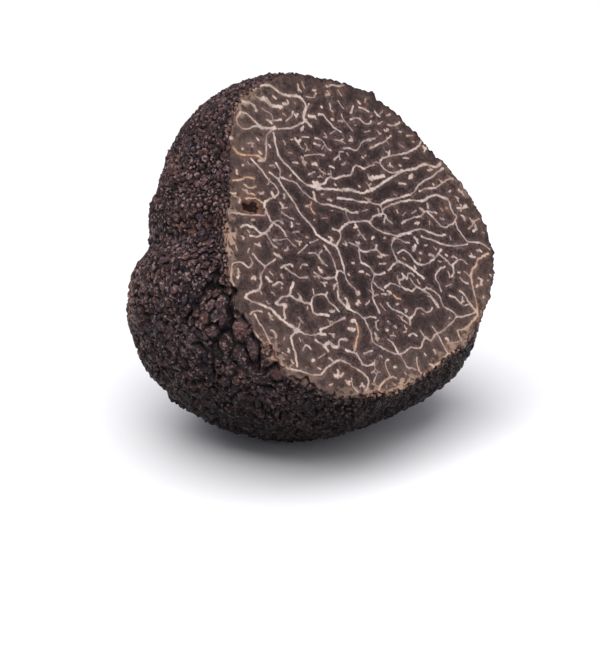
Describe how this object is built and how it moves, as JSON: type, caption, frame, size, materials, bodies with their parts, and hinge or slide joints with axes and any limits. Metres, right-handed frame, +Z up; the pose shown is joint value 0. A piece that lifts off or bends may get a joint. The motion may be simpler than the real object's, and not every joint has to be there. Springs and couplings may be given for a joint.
{
  "type": "black truffle",
  "caption": "Warty black truffle with a cap sliced off, its veined cut face turned up and to one side, lying on a small flat spot.",
  "frame": {"origin": "middle of the small flat spot that the truffle rests on, below its centre of mass", "axes": "+Z up off the surface; +X to the right and -Y towards a viewer who sees the cut face; the cut looks 44 degrees to the right of -Y and 32 degrees upwards"},
  "size_m": [0.0672, 0.0643, 0.0651],
  "materials": {
    "truffle_body": "matt, rough black-brown warty skin; the cut face is dark purplish brown, marbled with fine cream veins"
  },
  "bodies": {
    "root": {"truffle": "truffle_body"}
  },
  "joints": []
}
